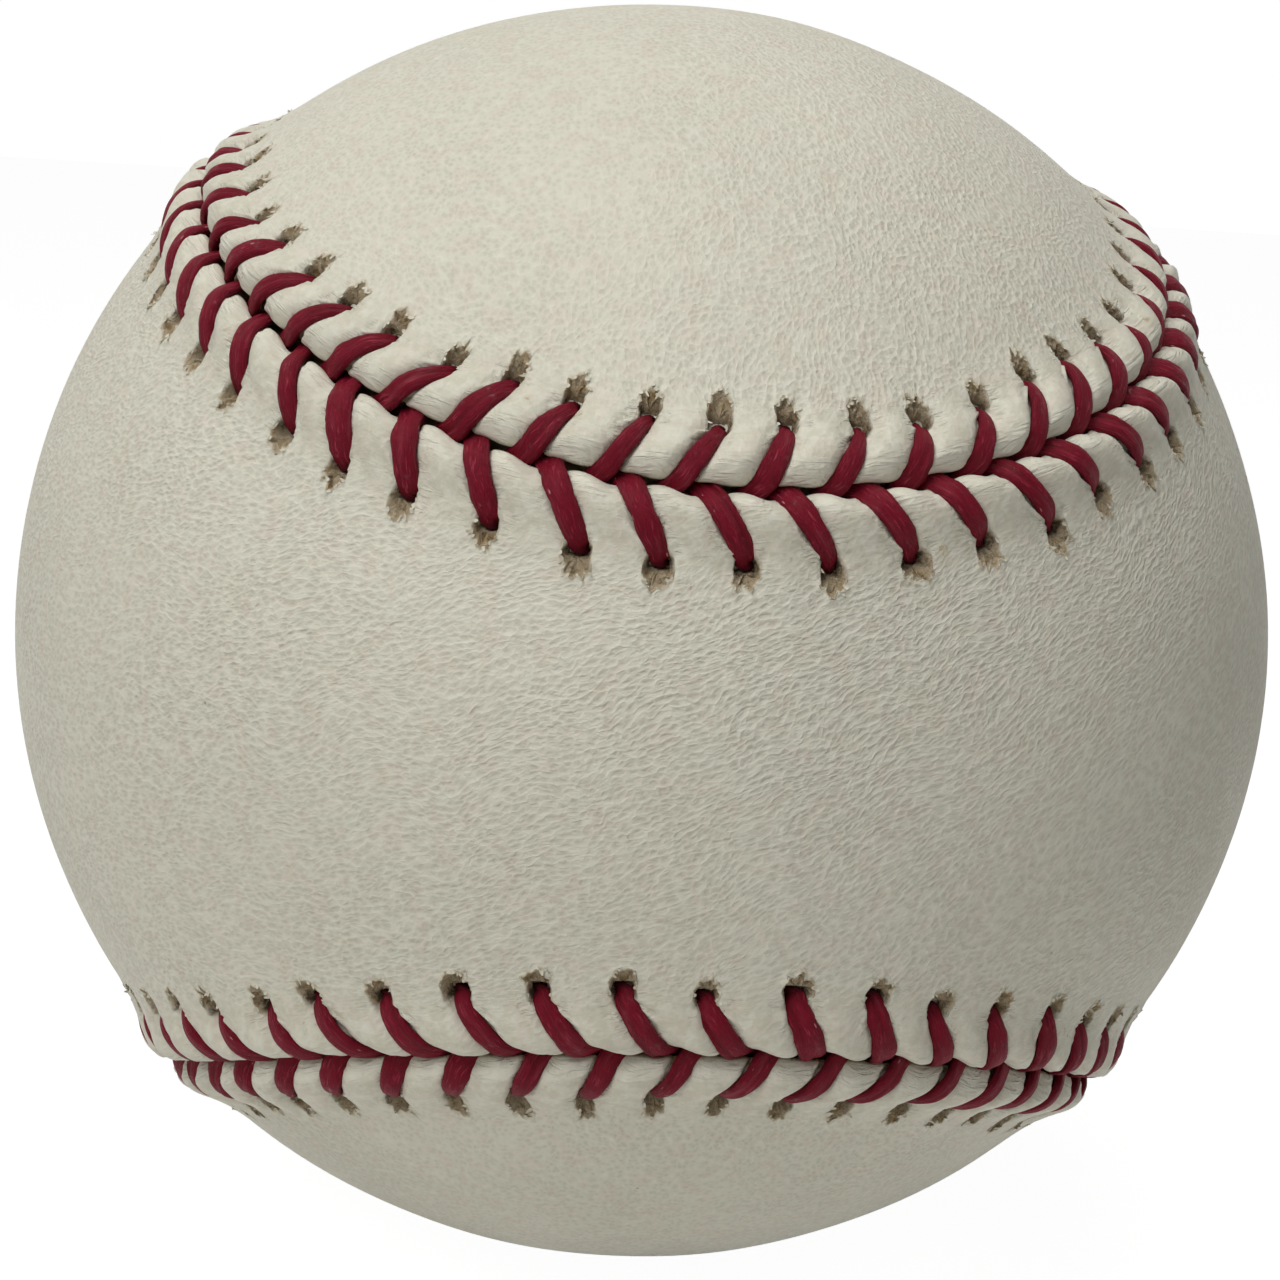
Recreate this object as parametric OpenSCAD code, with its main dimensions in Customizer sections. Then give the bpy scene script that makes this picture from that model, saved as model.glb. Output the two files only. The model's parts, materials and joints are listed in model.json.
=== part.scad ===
// A leather-covered, hand-sewn hardball, built from the cork outwards.
// Its centre is the origin. The two figure-eight cover panels meet along one closed
// seam. The narrow neck of panel A faces -Y, its lobes wrap round +X and -X, and
// panel B is the same shape turned, with its neck at +Y and its lobes at +Z and -Z.

/* [Core] */
// Diameter of the cork ball in the middle
cork_d = 20.6; // [12:0.1:30]
// Wall of the two black rubber half shells round the cork
shell_wall = 4; // [2:0.1:6]
// Height of the rubber ring between the rims of the half shells
gasket_t = 0.8; // [0.4:0.05:2]
// Wall of the red rubber layer moulded over the half shells
red_wall = 2.4; // [1:0.1:5]

/* [Windings] */
// Depth of the inner winding of four-ply grey wool
inner_wool_t = 14.3; // [8:0.1:20]
// Depth of the middle winding of three-ply white wool
white_wool_t = 1.7; // [1:0.05:4]
// Depth of the outer winding of three-ply grey wool
outer_wool_t = 2.1; // [1:0.05:4]
// Depth of the finishing winding of fine yarn
finish_yarn_t = 0.5; // [0.3:0.05:1.5]
// Film of rubber cement that the cover is stuck to
cement_t = 0.1; // [0.05:0.01:0.3]

/* [Cover] */
// Thickness of the leather away from the seam
leather_t = 1.3; // [1.1:0.05:1.6]
// Height of the leather pillows between the stitches, over the smooth cover
pillow_h = 1.02; // [0.85:0.01:1.2]
// Width of the flat top of a pillow, along the seam
pillow_w = 0.95; // [0.7:0.05:1.1]
// Distance from the seam to the crown of the pillows
crown_d = 1.2; // [1:0.05:1.4]
// Half of the open groove between the two cut edges of the leather
groove_half = 0.45; // [0.44:0.01:0.55]
// Distance from the seam at which the leather lies smooth again
smooth_d = 6.4; // [5.8:0.1:7.4]

/* [Stitches] */
// Double stitches round the seam
stitch_count = 108; // [96:4:120]
// Distance from the seam to where the thread goes down its stitch hole
hole_d = 3.1; // [2.9:0.05:3.6]
// Length of a stitch hole across the seam
hole_l = 1.8; // [1.5:0.05:2]
// Advance of each stitch leg along the seam, from the groove to its hole
leg_slant = 1.9; // [1.4:0.05:2.2]
// Distance along the seam between the feet of the two legs of a stitch
leg_step = 1.4; // [1.36:0.02:1.6]
// Width of the waxed thread where it lies flattened over the leather
thread_w = 1.32; // [1.1:0.02:1.34]
// Thickness of the flattened thread
thread_t = 0.76; // [0.6:0.02:0.8]
// Diameter of the round thread under the leather
under_thread_d = 0.8; // [0.6:0.02:0.82]
// Height of the thread's middle over the smooth cover, at the top of a leg
leg_top_h = 0.74; // [0.65:0.01:0.85]
// Height of the thread's middle over the smooth cover, at the ends of a leg
leg_end_h = 0.05; // [0:0.01:0.1]

/* [Seam curve] */
// Weight of the threefold wave in the seam, which sets how round the lobes are
lobe_share = 0.334; // [0.3:0.002:0.36]
// Reach of the seam along Y, which sets how wide the necks are
neck_share = 0.808; // [0.78:0.002:0.84]
// Place of the first stitch along the seam, as a share of the stitch pitch
first_stitch_share = 0.34; // [0:0.01:1]

/* [Hidden] */
$fn = 96;
thread_fn = 32;

// Clearances: between one layer and the next, and between the thread and what it touches
layer_gap = 0.02;
cover_gap = 0.05;
thread_gap = 0.03;

// Radii of the layers, from the cork outwards
cork_r = cork_d / 2;
shell_in_r = cork_r + layer_gap;
shell_out_r = shell_in_r + shell_wall;
red_in_r = shell_out_r + layer_gap;
red_out_r = red_in_r + red_wall;
inner_wool_in_r = red_out_r + layer_gap;
inner_wool_out_r = inner_wool_in_r + inner_wool_t;
white_wool_in_r = inner_wool_out_r + layer_gap;
white_wool_out_r = white_wool_in_r + white_wool_t;
outer_wool_in_r = white_wool_out_r + layer_gap;
outer_wool_out_r = outer_wool_in_r + outer_wool_t;
yarn_in_r = outer_wool_out_r + layer_gap;
yarn_out_r = yarn_in_r + finish_yarn_t;
cement_in_r = yarn_out_r + layer_gap;
cement_out_r = cement_in_r + cement_t;
ball_r = cement_out_r + cover_gap + leather_t;

// The seam as a direction from the centre, at turn angle u
function unit(v) = v / norm(v);
function seam_dir(u) = unit([(1 - lobe_share) * sin(u) + lobe_share * sin(3 * u),
                             -neck_share * cos(2 * u),
                             (1 - lobe_share) * cos(u) - lobe_share * cos(3 * u)]);

// Length along the seam against turn angle, for places at equal steps of real length
seam_samples = 1440;
sample_turn = 360 / seam_samples;
turn_of_length = [for (i = 0, run = 0; i <= seam_samples;
                       run = run + ball_r * norm(seam_dir((i + 1) * sample_turn) - seam_dir(i * sample_turn)),
                       i = i + 1) [run, i * sample_turn]];
seam_len = turn_of_length[seam_samples][0];
pitch = seam_len / stitch_count;
function turn_at(s) = lookup(s - seam_len * floor(s / seam_len), turn_of_length);

// Direction of the place that is s along the seam and d across it, towards +d
function place_dir(s, d) =
    let (u = turn_at(s), p = seam_dir(u), t = unit(seam_dir(u + sample_turn) - seam_dir(u - sample_turn)),
         n = cross(p, t), a = d / ball_r * 180 / PI)
    p * cos(a) + n * sin(a);
function seam_tangent(s) =
    let (u = turn_at(s)) unit(seam_dir(u + sample_turn) - seam_dir(u - sample_turn));
// A direction moved w along the seam, measured on the cover
function beside_dir(v, s, w) = unit(ball_r * v + w * seam_tangent(s));

// Panel A lies on the -d side of the seam and panel B on the +d side.
// Legs over panel B start half a step before the stitch, legs over panel A half a step after.
side_a = -1;
side_b = 1;
function foot_of(i, side) = (i + first_stitch_share) * pitch - side * leg_step / 2;
function slant_at(d) = leg_slant * d / hole_d;
function groove_dir(i, side) = place_dir(foot_of(i, side), 0);
function hole_dir(i, side) = place_dir(foot_of(i, side) + leg_slant, side * hole_d);
// Direction of the middle of a leg, d away from the groove
function leg_dir(i, side, d) =
    let (p = groove_dir(i, side), q = hole_dir(i, side), a = acos(p * q), f = d / hole_d)
    (sin(a * (1 - f)) * p + sin(a * f) * q) / sin(a);

// Arch of one leg: an arc from the groove to the hole, in the plane through the centre
leg_end_r = ball_r + leg_end_h;
leg_half_chord = norm([hole_d, leg_slant]) / 2;
leg_rise = ball_r + leg_top_h - sqrt(leg_end_r * leg_end_r - leg_half_chord * leg_half_chord);
leg_arc_r = (leg_half_chord * leg_half_chord + leg_rise * leg_rise) / (2 * leg_rise);
function leg_reach(d) = (2 * d / hole_d - 1) * leg_half_chord;
function leg_h(d) = sqrt(leg_arc_r * leg_arc_r - leg_reach(d) * leg_reach(d)) - leg_arc_r + ball_r
                    + leg_top_h - sqrt(ball_r * ball_r - leg_reach(d) * leg_reach(d));
function leg_lean(d) = cos(asin(leg_reach(d) / leg_arc_r));
// Floor of the valley that the thread presses into the leather
function floor_h(d) = leg_h(d) - thread_t / 2 / leg_lean(d) - thread_gap;

// Depth of the thread under the leather, just clear of the cement
under_r = under_thread_d / 2;
turn_r = under_r - 2 * thread_gap;
under_half_chord = norm([hole_d, pitch - leg_slant + leg_step]) / 2;
under_end_r = norm([cement_out_r + thread_gap + under_r, under_half_chord]);
tunnel_h = under_end_r + under_r + thread_gap - ball_r;

// Rows of the leather, as distances from the seam; the pull of the thread holds it at the near end of its hole
near_d = hole_d - under_r - 2 * thread_gap;
far_d = near_d + hole_l;
leg_len = norm([hole_d, leg_slant]);
valley_half = thread_w / 2 * leg_len / hole_d + 2 * thread_gap;
// A leg crosses its valley at a slant, so the thread reaches the valley's two sides at different heights
skew_d = valley_half * leg_slant * hole_d / (leg_len * leg_len);
crown_lip_d = groove_half - 2 * thread_gap;
crown_lip_h = pillow_h - crown_d / 4;
tail_share = 0.72;
foot_share = 0.3;
under_share = 0.25;
pillow_wall = leather_t - 4 * thread_gap;

// Facets of the smooth part of a panel
cell = 5.2;
cell_dip = cell * cell / (4 * ball_r);
inner_h = cell_dip - leather_t;

// Columns of one stitch: both sides of the valley under a leg, then both sides of the pillow after it
function row_points(side, d_valley, d_pillow, h_before, h_after, h_pillow) =
    [for (i = [0:stitch_count - 1])
        let (s = foot_of(i, side) + slant_at(d_valley), v = leg_dir(i, side, d_valley),
             s_mid = foot_of(i, side) + pitch / 2 + slant_at(d_pillow), m = place_dir(s_mid, side * d_pillow))
        each [(ball_r + h_before) * beside_dir(v, s, -valley_half),
              (ball_r + h_after) * beside_dir(v, s, valley_half),
              (ball_r + h_pillow) * beside_dir(m, s_mid, -pillow_w / 2),
              (ball_r + h_pillow) * beside_dir(m, s_mid, pillow_w / 2)]];
function outer_row(side, d, d_pillow, h_pillow) =
    row_points(side, d, d_pillow, floor_h(d - skew_d), floor_h(d + skew_d), h_pillow);
function edge_points(side) =
    [for (i = [0:stitch_count - 1])
        each [(ball_r + tunnel_h) * place_dir(foot_of(i, side), side * groove_half),
              (ball_r + crown_lip_h - pillow_wall / 2) * place_dir(foot_of(i, side) + pitch / 2, side * groove_half)]];

// The smooth part is laddered with lines between mirrored places, k either side of a lobe's tip
function tip_of(side) = side == side_a ? stitch_count / 4 : 0;
function smooth_dir(j, side) = place_dir(j * pitch, side * smooth_d);
function line_end(k, side, other) = smooth_dir(tip_of(side) + (other ? -k : k), side);
function line_angle(k, side) = acos(min(1, line_end(k, side, false) * line_end(k, side, true)));
function line_cells(side) =
    [for (k = [0:stitch_count / 2])
        k == 0 || k == stitch_count / 2 ? 0
        : max(1, round(line_angle(k, side) * PI / 180 * ball_r / cell))];
function running_total(cells) =
    [for (k = 0, sum = 0; k < len(cells); sum = sum + max(0, cells[k] - 1), k = k + 1) sum];
function ladder_points(side, cells, h) =
    [for (k = [0:len(cells) - 1])
        let (p = line_end(k, side, false), q = line_end(k, side, true), a = line_angle(k, side))
        for (m = [1:1:cells[k] - 1])
            let (f = m / cells[k])
            (ball_r + h) / sin(a) * (sin(a * (1 - f)) * p + sin(a * f) * q)];

function wrap(j, n) = j - n * floor(j / n);
function flip(faces) = [for (f = faces) [f[0], f[2], f[1]]];

// Band between two rows that both have four columns a stitch
function band4(a, b, open) =
    [for (i = [0:4 * stitch_count - 1]) if (!open || i % 4 != 0)
        let (j = wrap(i + 1, 4 * stitch_count))
        for (f = [[a + i, b + i, b + j], [a + i, b + j, a + j]]) f];
// Band from a row with two columns a stitch to one with four
function band24(a, b) =
    [for (i = [0:stitch_count - 1])
        let (v = a + 2 * i, p = v + 1, v2 = a + wrap(2 * i + 2, 2 * stitch_count),
             c = b + 4 * i, c4 = b + wrap(4 * i + 4, 4 * stitch_count))
        for (f = [[v, c, c + 1], [v, c + 1, c + 2], [v, c + 2, p],
                  [p, c + 2, c + 3], [p, c + 3, c4], [p, c4, v2]]) f];
// Band from a row with four columns a stitch to one with a single place a stitch
function band41(a, b, shift) =
    [for (i = [0:stitch_count - 1])
        let (c = a + 4 * i, c4 = a + wrap(4 * i + 4, 4 * stitch_count),
             f1 = b + wrap(i + shift, stitch_count), f2 = b + wrap(i + 1 + shift, stitch_count))
        for (f = [[c, f1, c + 1], [c + 1, f1, c + 2], [c + 2, f1, f2],
                  [c + 2, f2, c + 3], [c + 3, f2, c4]]) f];
// Walls of the stitch holes, from the outer rows to the inner rows
function hole_walls(near, far, near_in, far_in) =
    [for (i = [0:stitch_count - 1]) let (l = 4 * i, r = l + 1)
        for (f = [[near + r, near + l, near_in + l], [near + r, near_in + l, near_in + r],
                  [far + l, far + r, far_in + r], [far + l, far_in + r, far_in + l],
                  [near + l, far + l, far_in + l], [near + l, far_in + l, near_in + l],
                  [far + r, near + r, near_in + r], [far + r, near_in + r, far_in + r]]) f];
// Ladder between line k and line k + 1, whose numbers of cells may differ
function ladder_index(k, m, cells, starts, row, inside, tip) =
    m == 0 ? row + wrap(tip + k, stitch_count)
    : m == cells[k] ? row + wrap(tip - k, stitch_count)
    : inside + starts[k] + m - 1;
function ladder(cells, row, inside, tip) =
    let (starts = running_total(cells))
    [for (k = [0:len(cells) - 2])
        let (m = cells[k], n = cells[k + 1])
        for (f = concat(
            [for (i = [0:1:m - 1])
                let (q = ceil(((2 * i + 1) * n - m) / (2 * m)))
                [ladder_index(k, i, cells, starts, row, inside, tip),
                 ladder_index(k, i + 1, cells, starts, row, inside, tip),
                 ladder_index(k + 1, q, cells, starts, row, inside, tip)]],
            [for (i = [0:1:n - 1])
                let (q = floor(((2 * i + 1) * m - n) / (2 * n)) + 1)
                [ladder_index(k, q, cells, starts, row, inside, tip),
                 ladder_index(k + 1, i + 1, cells, starts, row, inside, tip),
                 ladder_index(k + 1, i, cells, starts, row, inside, tip)]])) f];

// One figure-eight panel, puckered and pierced along its edge
module cover_panel(side) {
    n = stitch_count;
    cells = line_cells(side);
    inside_count = running_total(cells)[len(cells) - 1];
    rows = [edge_points(side),
            outer_row(side, groove_half, crown_lip_d, crown_lip_h),
            outer_row(side, crown_d, crown_d, pillow_h),
            outer_row(side, near_d, near_d, pillow_h * tail_share),
            row_points(side, far_d, far_d, 0, 0, pillow_h * foot_share),
            [for (j = [0:n - 1]) ball_r * smooth_dir(j, side)],
            row_points(side, near_d, near_d, tunnel_h, tunnel_h, tunnel_h + pillow_h * under_share),
            row_points(side, far_d, far_d, inner_h / 2, inner_h / 2, inner_h / 2),
            [for (j = [0:n - 1]) (ball_r + inner_h) * smooth_dir(j, side)],
            ladder_points(side, cells, 0),
            ladder_points(side, cells, inner_h)];
    edge = 0;
    lip = edge + 2 * n;
    crown = lip + 4 * n;
    near = crown + 4 * n;
    far = near + 4 * n;
    smooth = far + 4 * n;
    near_in = smooth + n;
    far_in = near_in + 4 * n;
    smooth_in = far_in + 4 * n;
    ladder_out = smooth_in + n;
    ladder_in = ladder_out + inside_count;
    shift = round((foot_of(0, side) + slant_at(far_d)) / pitch);
    outer = concat(band24(edge, lip), band4(lip, crown, false), band4(crown, near, false),
                   band4(near, far, true), band41(far, smooth, shift),
                   ladder(cells, smooth, ladder_out, tip_of(side)));
    inner = concat(band24(edge, near_in), band4(near_in, far_in, true), band41(far_in, smooth_in, shift),
                   ladder(cells, smooth_in, ladder_in, tip_of(side)));
    faces = concat(outer, flip(inner), hole_walls(near, far, near_in, far_in));
    polyhedron(points = [for (row = rows) each row], faces = side == side_b ? faces : flip(faces));
}

// Waxed thread: flattened over the leather, round in the groove, the holes and under the leather
module thread_section() {
    for (y = [-1, 1])
        translate([0, y * (thread_w - thread_t) / 2]) circle(d = thread_t, $fn = thread_fn);
}

module rod(a, b, r) {
    run = b - a;
    translate(a) rotate([0, acos(run[2] / norm(run)), atan2(run[1], run[0])])
        cylinder(r = r, h = norm(run), $fn = thread_fn);
}

module leg_arch(p, q) {
    across = unit(q - p);
    up = unit(p + q);
    beside = cross(across, up);
    half_chord = norm(q - p) / 2;
    mid_r = norm(p + q) / 2;
    rise = ball_r + leg_top_h - mid_r;
    arc_r = (half_chord * half_chord + rise * rise) / (2 * rise);
    half_turn = asin(half_chord / arc_r);
    middle = (ball_r + leg_top_h - arc_r) * up;
    multmatrix([[across[0], up[0], beside[0], middle[0]],
                [across[1], up[1], beside[1], middle[1]],
                [across[2], up[2], beside[2], middle[2]],
                [0, 0, 0, 1]])
        rotate([0, 0, 90 - half_turn]) rotate_extrude(angle = 2 * half_turn, $fn = 3 * thread_fn)
            translate([arc_r, 0]) thread_section();
}

// One leg and the run under the leather from its hole to the next stitch's groove.
// The thread is drawn thinner where it turns down, and each run passes its turns a little.
module stitch(i, side) {
    groove = groove_dir(i, side);
    hole = hole_dir(i, side);
    next_groove = groove_dir(i + 1, -side);
    past_turn = (under_r + layer_gap) * unit(next_groove - hole);
    leg_arch(leg_end_r * groove, leg_end_r * hole);
    rod(under_end_r * groove, leg_end_r * groove, turn_r);
    rod(under_end_r * hole, leg_end_r * hole, turn_r);
    rod(under_end_r * hole - past_turn, under_end_r * next_groove + past_turn, under_r);
}

// Each needle's thread crosses to the other panel at every stitch
module stitch_thread(first_side) {
    for (i = [0:stitch_count - 1]) stitch(i, i % 2 == 0 ? first_side : -first_side);
}

module layer(in_r, out_r) {
    difference() {
        sphere(r = out_r);
        sphere(r = in_r);
    }
}

// Half of the moulded shell, which stops short of the gasket
module black_shell(up) {
    rim = gasket_t / 2 + layer_gap;
    intersection() {
        layer(shell_in_r, shell_out_r);
        translate([0, 0, up * (rim + shell_out_r)]) cube(2 * shell_out_r, center = true);
    }
}

module cork_core() {
    color("tan") sphere(r = cork_r);
}
module black_shell_upper() {
    color("#1c1b1d") black_shell(1);
}
module black_shell_lower() {
    color("#242326") black_shell(-1);
}
module shell_gasket() {
    color("firebrick") intersection() {
        layer(shell_in_r, shell_out_r);
        cube([2 * shell_out_r + gasket_t, 2 * shell_out_r + gasket_t, gasket_t], center = true);
    }
}
module red_rubber_layer() {
    color("#a53a35") layer(red_in_r, red_out_r);
}
module grey_wool_inner() {
    color("#8b8a86") layer(inner_wool_in_r, inner_wool_out_r);
}
module white_wool_middle() {
    color("#e8e4d8") layer(white_wool_in_r, white_wool_out_r);
}
module grey_wool_outer() {
    color("#777773") layer(outer_wool_in_r, outer_wool_out_r);
}
module finishing_yarn() {
    color("#f0ece0") layer(yarn_in_r, yarn_out_r);
}
module cement_coat() {
    color("#c9b98f") layer(cement_in_r, cement_out_r);
}
module cover_panel_a() {
    color("#dedccf") cover_panel(side_a);
}
module cover_panel_b() {
    color("#d6d3c4") cover_panel(side_b);
}
module stitch_thread_a() {
    color("#9d1b36") stitch_thread(side_a);
}
module stitch_thread_b() {
    color("#8c142d") stitch_thread(side_b);
}

cork_core();
black_shell_upper();
black_shell_lower();
shell_gasket();
red_rubber_layer();
grey_wool_inner();
white_wool_middle();
grey_wool_outer();
finishing_yarn();
cement_coat();
cover_panel_a();
cover_panel_b();
stitch_thread_a();
stitch_thread_b();
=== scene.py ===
import json
import math
import bpy
import numpy as np
from mathutils import Matrix, Vector

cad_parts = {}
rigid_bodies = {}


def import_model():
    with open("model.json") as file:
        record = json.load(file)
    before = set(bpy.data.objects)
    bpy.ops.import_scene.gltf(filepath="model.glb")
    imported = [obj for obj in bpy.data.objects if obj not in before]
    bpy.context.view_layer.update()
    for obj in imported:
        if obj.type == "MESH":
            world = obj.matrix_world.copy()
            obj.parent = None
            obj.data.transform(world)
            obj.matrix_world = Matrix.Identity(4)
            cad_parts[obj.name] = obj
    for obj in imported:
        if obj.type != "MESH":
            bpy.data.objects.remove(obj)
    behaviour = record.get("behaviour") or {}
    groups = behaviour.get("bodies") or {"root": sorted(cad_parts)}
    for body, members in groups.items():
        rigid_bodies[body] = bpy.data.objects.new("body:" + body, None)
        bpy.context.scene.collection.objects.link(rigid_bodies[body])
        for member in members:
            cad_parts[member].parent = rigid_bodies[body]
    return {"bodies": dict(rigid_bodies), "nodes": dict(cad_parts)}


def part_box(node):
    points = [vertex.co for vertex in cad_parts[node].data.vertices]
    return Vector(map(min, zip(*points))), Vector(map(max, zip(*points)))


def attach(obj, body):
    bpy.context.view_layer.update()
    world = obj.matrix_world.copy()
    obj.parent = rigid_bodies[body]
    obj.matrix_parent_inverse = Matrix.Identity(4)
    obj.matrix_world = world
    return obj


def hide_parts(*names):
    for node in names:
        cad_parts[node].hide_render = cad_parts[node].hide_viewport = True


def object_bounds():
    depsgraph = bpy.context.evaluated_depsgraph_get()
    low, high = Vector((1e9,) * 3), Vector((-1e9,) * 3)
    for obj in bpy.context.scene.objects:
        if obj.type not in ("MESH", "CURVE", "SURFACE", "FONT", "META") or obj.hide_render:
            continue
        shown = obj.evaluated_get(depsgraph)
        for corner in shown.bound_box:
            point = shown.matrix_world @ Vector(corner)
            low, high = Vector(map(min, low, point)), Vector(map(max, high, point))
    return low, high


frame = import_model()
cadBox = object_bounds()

mm = 0.001
ballR = (cadBox[1][0] - cadBox[0][0]) / 2 / mm  # radius of the smooth cover, in mm
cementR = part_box("cement_coat")[1][0] / mm
sideA, sideB = -1, 1  # panel A lies on the -d side of the seam


# numbers

def softStep(x):
    # 0 below 0, 1 above 1, with level ends between
    x = np.clip(x, 0, 1)
    return x * x * (3 - 2 * x)


def curveThrough(points, x):
    # smooth curve through (x, y) points: cubic pieces whose slopes are the neighbours' slopes
    px, py = np.array(points, float).T
    slope = np.gradient(py, px)
    x = np.clip(x, px[0], px[-1])
    k = np.clip(np.searchsorted(px, x, "right") - 1, 0, len(px) - 2)
    w = px[k + 1] - px[k]
    t = (x - px[k]) / w
    return ((2 * t**3 - 3 * t**2 + 1) * py[k] + (t**3 - 2 * t**2 + t) * w * slope[k]
            + (3 * t**2 - 2 * t**3) * py[k + 1] + (t**3 - t**2) * w * slope[k + 1])


def lumps(points, wave, seed, count=16):
    # sum of plane waves in random directions, about -1 to 1, with the given wavelength
    rng = np.random.default_rng(seed)
    heading = rng.normal(size=(count, 3))
    heading *= (2 * np.pi / wave * rng.uniform(0.7, 1.5, count) / np.linalg.norm(heading, axis=1))[:, None]
    return np.sin(points @ heading.T + rng.uniform(0, 2 * np.pi, count)).sum(-1) / math.sqrt(count)


def packed(*parts):
    # the parts side by side, as the last axis of one array
    return np.stack(np.broadcast_arrays(*parts), -1)


def unit(v):
    return v / np.linalg.norm(v, axis=-1, keepdims=True)


# seam

seam = dict(
    lobeShare=0.334,            # weight of the threefold wave, which sets how round the lobes are
    neckShare=0.808,            # reach along Y, which sets how wide the necks are
    stitches=108,
    firstStitchShare=0.34,      # place of the first stitch, as a share of the pitch
    legStep=1.4,                # along the seam, between the feet of a stitch's two legs
    legSlant=(1.80, 1.88),      # advance of a leg from its foot to its hole, on panels B and A
    holeD=(2.85, 3.30),         # from the seam to where the thread goes in, on panels B and A
    evenHoleD=3.1,
)


def seamDir(u):
    # unit vector of (sin u + threefold sine, -cos 2u, cos u - threefold cosine), weighted by the shares
    b, c = seam["lobeShare"], seam["neckShare"]
    return unit(packed((1 - b) * np.sin(u) + b * np.sin(3 * u), -c * np.cos(2 * u),
                       (1 - b) * np.cos(u) - b * np.cos(3 * u)))


turnTable = np.linspace(0, 2 * np.pi, 7201)
stepLength = np.linalg.norm(np.diff(seamDir(turnTable), axis=0), axis=1) * ballR
lengthTable = np.concatenate([[0], np.cumsum(stepLength)])
seamLen = lengthTable[-1]
pitch = seamLen / seam["stitches"]


def seamFrame(s):
    # point, tangent and panel B direction of the seam at length s
    u = np.interp(s % seamLen, lengthTable, turnTable)
    p = seamDir(u)
    t = unit(seamDir(u + 1e-4) - seamDir(u - 1e-4))
    return p, t, np.cross(p, t)


def axesAt(s, d):
    # directions at a place of the cover: outwards, along the seam and across it, d being along a great circle
    p, t, n = seamFrame(s)
    a = (d / ballR)[..., None]
    return p * np.cos(a) + n * np.sin(a), t, n * np.cos(a) - p * np.sin(a)


def place(s, d, h):
    # a point h above the smooth cover, s along the seam and d across it
    return (ballR + h)[..., None] * axesAt(s, d)[0]


# sewn thread sizes, which the leather needs too

thread = dict(
    width=(1.20, 1.27),         # flattened over the leather, on panels B and A
    trail=(0.60, 0.40),         # how far along the groove each leg of B or A comes up before its foot
    lower=(0.0, 0.10),          # how much lower it starts there
    thick=0.60,
    roundD=0.80,                # under the leather
    gap=0.03,                   # between thread and leather
    ringsLeg=34, ringsUnder=10, sides=20,
    plyDent=0.13,               # depth of the line between the two plies, as a share of the thickness
    ragged=((1.1, 0.030), (0.5, 0.022)),  # uneven edges: wavelength in mm and share of the width
    fuzz=16,                    # loose fibres on each leg
    fuzzR=0.011, fuzzLong=(0.10, 0.38),
)
# height of the thread's middle against the distance from the groove, over one leg
legArch = [(-0.62, -0.88), (-0.30, -0.66), (0.00, -0.26), (0.25, 0.09), (0.50, 0.34), (0.80, 0.53),
           (1.15, 0.64), (1.55, 0.67), (1.95, 0.60), (2.32, 0.43), (2.68, 0.17), (2.98, -0.18)]
# distance from the groove at even steps of a leg and down its hole, and the heights of the last three
legReach = [-0.55, -0.22, 0.05, 0.28, 0.56, 0.88, 1.24, 1.60, 1.96, 2.30, 2.62, 2.88, 3.06, 3.17, 3.21]
holeFall = [-0.34, -0.66, -0.95]


# hand sewing: small random errors of each leg, the same for the leather and the thread
sewing = dict(
    foot=(0.10, 0.2), holeS=(0.16, 0.33), holeD=(0.17, 0.35),  # spread in mm and the most that it may be
    width=(0.09, 0.16), crown=(0.07, 0.16),  # the same, as shares
    taper=((0.10, 0.48), (0.0, 0.20)),  # share of its width that a leg of B or A loses
)
rngSew = np.random.default_rng(41)


def stray(key):
    # one random error for each leg of a panel
    spread, most = sewing[key]
    return rngSew.normal(0, spread, seam["stitches"]).clip(-most, most)


legs = {}
for side in (sideA, sideB):
    panel = int(side == sideA)
    foot = (np.arange(seam["stitches"]) + seam["firstStitchShare"]) * pitch - side * seam["legStep"] / 2
    evenHole = foot + seam["legSlant"][panel]
    legs[side] = dict(
        foot=foot + stray("foot"), hole=evenHole + stray("holeS"), evenHole=evenHole,
        holeD=seam["holeD"][panel] + stray("holeD"), width=thread["width"][panel] * (1 + stray("width")),
        taper=rngSew.uniform(*sewing["taper"][panel], seam["stitches"]), crown=1 + stray("crown"))


def around(a, i):
    # entry i of a ring of stitches; past the last stitch it goes on round the seam
    n = seam["stitches"]
    return a[i % n] + (i // n) * seamLen


# meshes

def quadFaces(index, keep=...):
    # two triangles for each kept cell of a grid of vertex numbers, without the ones that have no area
    a, b, c, d = index[:-1, :-1][keep], index[1:, :-1][keep], index[1:, 1:][keep], index[:-1, 1:][keep]
    tri = np.concatenate([packed(a, b, c).reshape(-1, 3), packed(a, c, d).reshape(-1, 3)])
    real = (tri[:, 0] != tri[:, 1]) & (tri[:, 1] != tri[:, 2]) & (tri[:, 2] != tri[:, 0])
    return tri[real]


def closeRing(index):
    # repeats the first column after the last
    return np.concatenate([index, index[:, :1]], 1)


def turnedOut(verts, faces, outward=True):
    # flips the faces as one if they look the wrong way from the centre
    a, b, c = verts[faces[:, 0]], verts[faces[:, 1]], verts[faces[:, 2]]
    facing = (np.cross(b - a, c - a) * (a + b + c)).sum()
    return faces if (facing > 0) == outward else faces[:, ::-1]


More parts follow.
